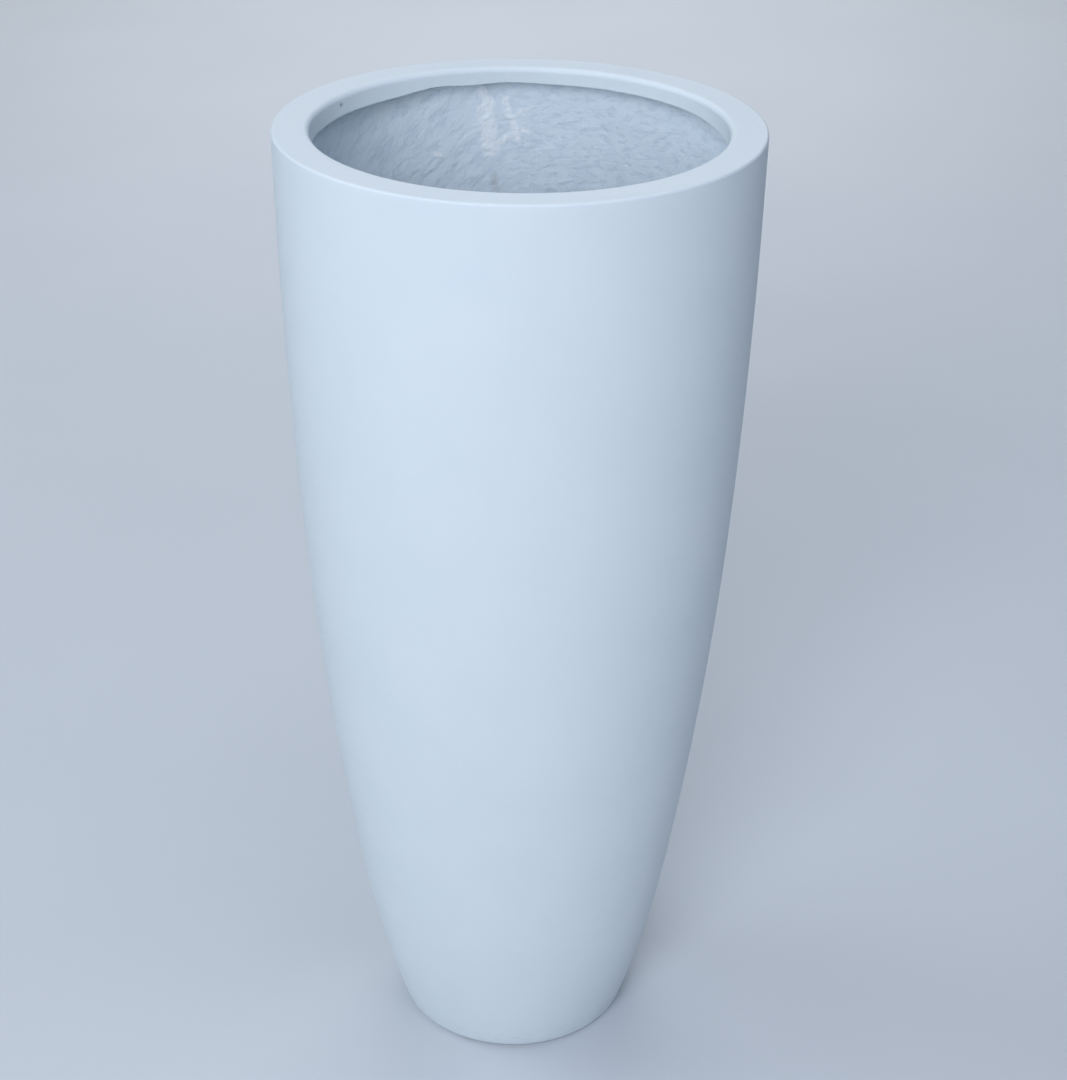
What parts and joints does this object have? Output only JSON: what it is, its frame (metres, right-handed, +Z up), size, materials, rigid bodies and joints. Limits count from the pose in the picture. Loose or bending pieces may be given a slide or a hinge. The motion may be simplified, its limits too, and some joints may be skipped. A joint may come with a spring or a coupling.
{
  "type": "tall fiberglass planter",
  "caption": "Tall round planter that tapers to a narrow foot, with a flat rim, a trimmed lip inside the mouth, an open planting cavity and a drain hole closed by a lift-out plug.",
  "frame": {"origin": "centre of the foot ring, on the floor that the planter stands on", "axes": "+Z up along the planter's axis through the mouth; +X to the viewer's right and +Y away from the viewer in the picture"},
  "size_m": [0.3799, 0.38, 0.815],
  "materials": {
    "wall_laminate": "matte",
    "rim_laminate": "matte",
    "base_laminate": "matte",
    "bonding_resin": "satin",
    "plug_rubber": "matte"
  },
  "bodies": {
    "planter": {"body_shell": "wall_laminate", "rim_ring": "rim_laminate", "rim_bond": "bonding_resin", "base_disc": "base_laminate", "base_bond": "bonding_resin"},
    "plug": {"drain_plug": "plug_rubber"}
  },
  "joints": [
    {"name": "drain_plug_lift", "type": "slide", "parent": "planter", "child": "plug", "axis": [0, 0, 1], "range_m": [0, 0.84]}
  ]
}
